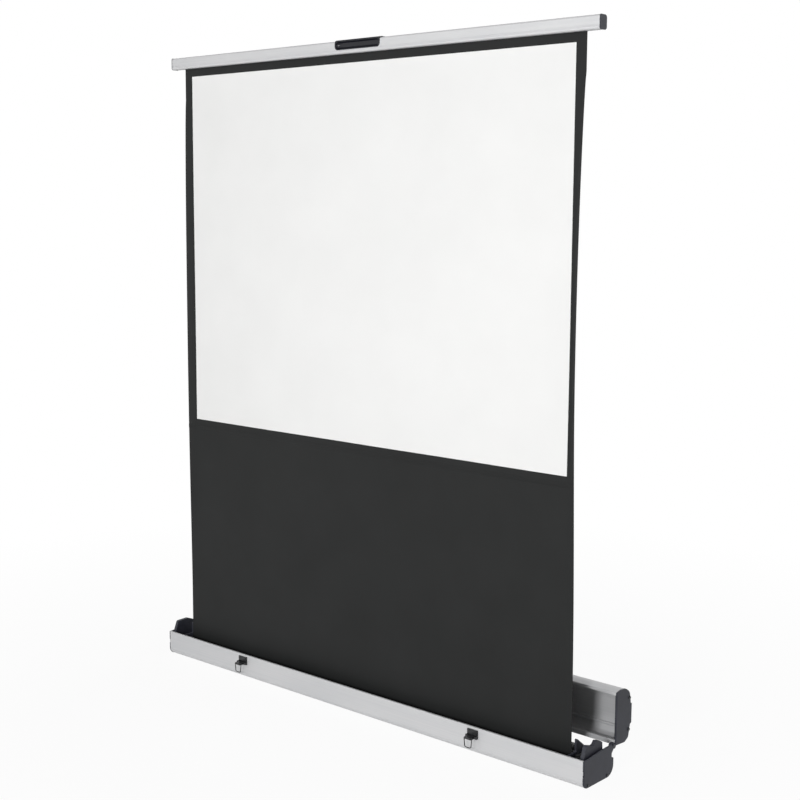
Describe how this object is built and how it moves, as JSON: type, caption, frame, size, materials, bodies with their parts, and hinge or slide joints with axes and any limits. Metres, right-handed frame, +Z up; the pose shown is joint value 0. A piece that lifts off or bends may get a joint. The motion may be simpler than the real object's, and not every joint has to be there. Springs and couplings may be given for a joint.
{
  "type": "portable projection screen",
  "caption": "Floor-standing pull-up projection screen: white cloth with black border and drop, raised by a folding scissor stand out of an aluminium case with a hinged lid and draw latches.",
  "frame": {"origin": "on the floor under the middle of the outline of the raised screen with its lid open", "axes": "+X along the case to the right as seen from the front, +Y to the rear, +Z up"},
  "size_m": [1.3916, 0.2164, 1.6341],
  "materials": {
    "aluminium": "satin anodised",
    "black_plastic": "fine grain",
    "black_lacquered_steel": "semi-gloss",
    "bright_steel": "zinc plated",
    "rubber": "matt",
    "white_screen_cloth": "matt white coating",
    "black_screen_cloth": "matt black coating"
  },
  "bodies": {
    "case": {"base_trough": "aluminium", "base_end_cap_left": "black_plastic", "base_end_cap_right": "black_plastic", "hinge_pin_left": "black_lacquered_steel", "hinge_pin_right": "black_lacquered_steel", "base_cap_screws": "black_lacquered_steel", "foot_pads": "rubber", "bar_cradle_left": "black_plastic", "bar_cradle_right": "black_plastic", "roller_bracket_left": "black_plastic", "roller_bracket_right": "black_plastic", "bracket_screws": "black_lacquered_steel", "spring_rod": "bright_steel", "screen_image": "white_screen_cloth", "screen_border": "black_screen_cloth", "screen_drop": "black_screen_cloth", "base_rail": "aluminium", "pivot_base": "bright_steel", "latch_plate_left": "black_lacquered_steel", "latch_plate_right": "black_lacquered_steel", "latch_rivets": "black_lacquered_steel"},
    "roller": {"roller_tube": "aluminium", "cloth_wrap": "black_screen_cloth", "roller_plug_left": "black_plastic", "roller_plug_right": "black_plastic"},
    "lid": {"lid_trough": "aluminium", "lid_end_cap_left": "black_plastic", "lid_end_cap_right": "black_plastic", "lid_cap_screws": "black_lacquered_steel", "latch_keepers": "black_lacquered_steel", "handle_mounts": "black_plastic"},
    "handle": {"carry_handle": "black_plastic"},
    "lower_front_arm": {"arm_lower_front": "aluminium", "pivot_lower_cross": "bright_steel", "pivot_elbow_right": "bright_steel"},
    "lower_rear_arm": {"arm_lower_rear": "aluminium", "slide_pin_base": "bright_steel", "pivot_elbow_left": "bright_steel"},
    "upper_front_arm": {"arm_upper_front": "aluminium", "slide_pin_bar": "bright_steel"},
    "upper_rear_arm": {"arm_upper_rear": "aluminium", "pivot_upper_cross": "bright_steel"},
    "bar": {"top_bar": "aluminium", "pull_grip": "black_plastic", "bar_cap_left": "black_plastic", "bar_cap_right": "black_plastic", "cloth_clamp_rod": "bright_steel", "bar_rail": "aluminium", "rail_standoffs": "aluminium", "pivot_bar": "bright_steel"},
    "lever_left": {"latch_lever_left": "black_lacquered_steel"},
    "lever_right": {"latch_lever_right": "black_lacquered_steel"},
    "bail_left": {"latch_bail_left": "black_lacquered_steel"},
    "bail_right": {"latch_bail_right": "black_lacquered_steel"}
  },
  "joints": [
    {"name": "screen_fold", "type": "hinge", "parent": "case", "child": "lower_front_arm", "pos_m": [-0.21918, -0.001, 0.038], "axis": [0, 1, 0], "range_deg": [0, 66.03], "deforming": ["screen_image", "screen_border", "screen_drop"]},
    {"name": "lower_cross_turn", "type": "hinge", "parent": "lower_front_arm", "child": "lower_rear_arm", "pos_m": [-0.06418, -0.001, 0.43375], "axis": [0, 1, 0], "range_deg": [-132.07, 0]},
    {"name": "elbow_right_turn", "type": "hinge", "parent": "lower_front_arm", "child": "upper_rear_arm", "pos_m": [0.09082, -0.001, 0.8295], "axis": [0, 1, 0], "range_deg": [-132.07, 0]},
    {"name": "elbow_left_turn", "type": "hinge", "parent": "lower_rear_arm", "child": "upper_front_arm", "pos_m": [-0.21918, -0.001, 0.8295], "axis": [0, 1, 0], "range_deg": [0, 132.07]},
    {"name": "bar_level", "type": "hinge", "parent": "upper_rear_arm", "child": "bar", "pos_m": [-0.21918, -0.001, 1.621], "axis": [0, 1, 0], "range_deg": [0, 66.03]},
    {"name": "roller_spin", "type": "hinge", "parent": "case", "child": "roller", "pos_m": [0, -0.0637, 0.03], "axis": [1, 0, 0], "continuous": true},
    {"name": "lid_hinge", "type": "hinge", "parent": "case", "child": "lid", "pos_m": [0, 0.0315, 0.0665], "axis": [1, 0, 0], "range_deg": [0, 10]},
    {"name": "handle_swing", "type": "hinge", "parent": "lid", "child": "handle", "pos_m": [0, 0.1027, 0.14162], "axis": [1, 0, 0], "range_deg": [0, 95]},
    {"name": "lever_left_turn", "type": "hinge", "parent": "case", "child": "lever_left", "pos_m": [-0.389, -0.093, 0.044], "axis": [1, 0, 0], "range_deg": [-35, 22]},
    {"name": "bail_left_swing", "type": "hinge", "parent": "lever_left", "child": "bail_left", "pos_m": [-0.389, -0.105, 0.044], "axis": [1, 0, 0], "range_deg": [-150, 12]},
    {"name": "lever_right_turn", "type": "hinge", "parent": "case", "child": "lever_right", "pos_m": [0.389, -0.093, 0.044], "axis": [1, 0, 0], "range_deg": [-35, 22]},
    {"name": "bail_right_swing", "type": "hinge", "parent": "lever_right", "child": "bail_right", "pos_m": [0.389, -0.105, 0.044], "axis": [1, 0, 0], "range_deg": [-150, 12]}
  ],
  "couplings": [
    {"joint": "lower_cross_turn", "follows": "screen_fold", "ratio": -2},
    {"joint": "elbow_right_turn", "follows": "screen_fold", "ratio": -2},
    {"joint": "elbow_left_turn", "follows": "screen_fold", "ratio": 2},
    {"joint": "bar_level", "follows": "screen_fold", "ratio": 1}
  ]
}
